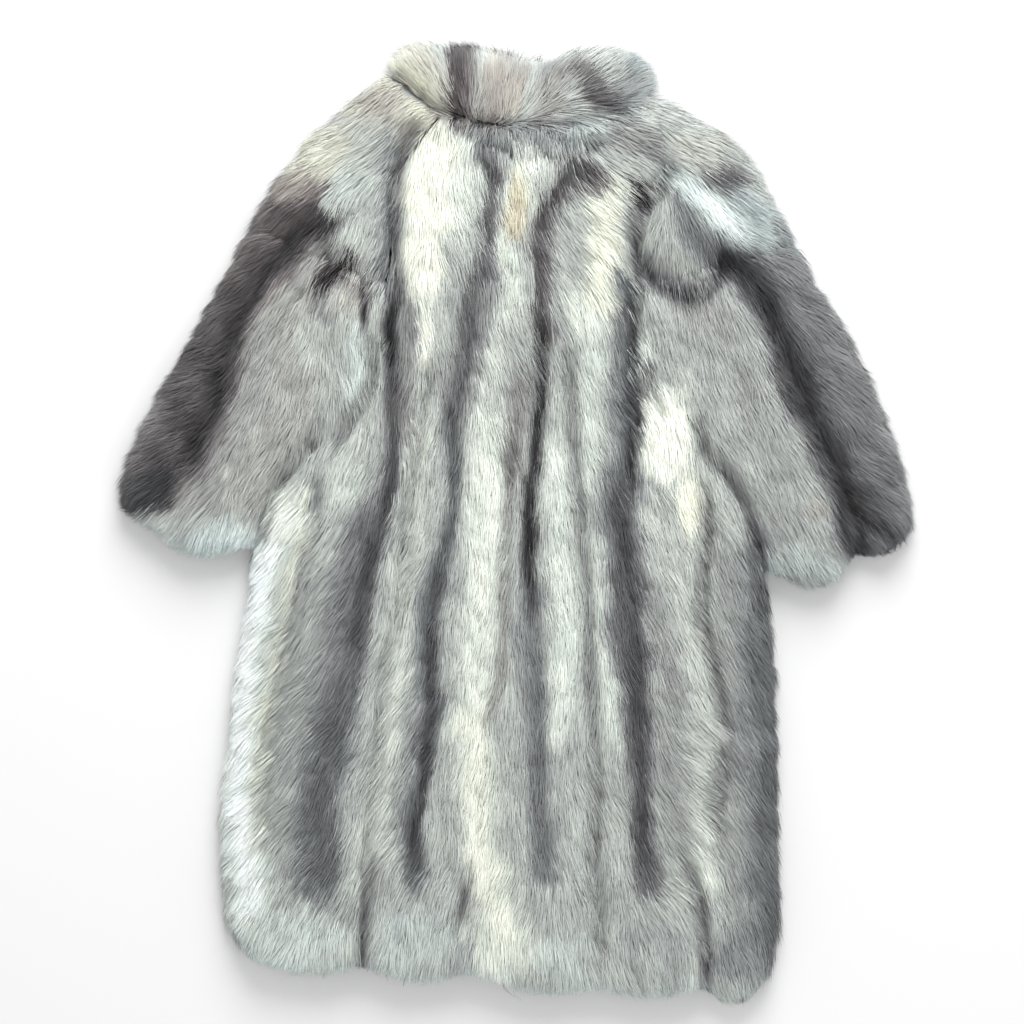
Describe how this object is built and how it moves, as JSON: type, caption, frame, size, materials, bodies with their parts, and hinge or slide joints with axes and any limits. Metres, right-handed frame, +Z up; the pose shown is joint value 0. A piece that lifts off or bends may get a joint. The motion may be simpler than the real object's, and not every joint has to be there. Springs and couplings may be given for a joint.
{
  "type": "fur coat",
  "caption": "Long fur coat with a stand collar, wide sleeves and lobed skins in the back, lying face down as one rigid body.",
  "frame": {"origin": "Centre of the footprint, on the surface that the coat lies on", "axes": "+Z up out of the surface, +Y from the hem towards the collar, +X across the coat to the picture's right"},
  "size_m": [0.9878, 1.1934, 0.071],
  "materials": {
    "fur": "long soft fur"
  },
  "bodies": {
    "root": {"back_skin_1": "fur", "back_skin_2": "fur", "back_skin_3": "fur", "back_skin_4": "fur", "back_skin_5": "fur", "back_skin_6": "fur", "front_left": "fur", "front_right": "fur", "collar_left": "fur", "collar_right": "fur", "neck_band": "fur", "sleeve_left_cap": "fur", "sleeve_left_outer": "fur", "sleeve_left_inner": "fur", "sleeve_left_under": "fur", "sleeve_right_cap": "fur", "sleeve_right_outer": "fur", "sleeve_right_inner": "fur", "sleeve_right_under": "fur"}
  },
  "joints": []
}
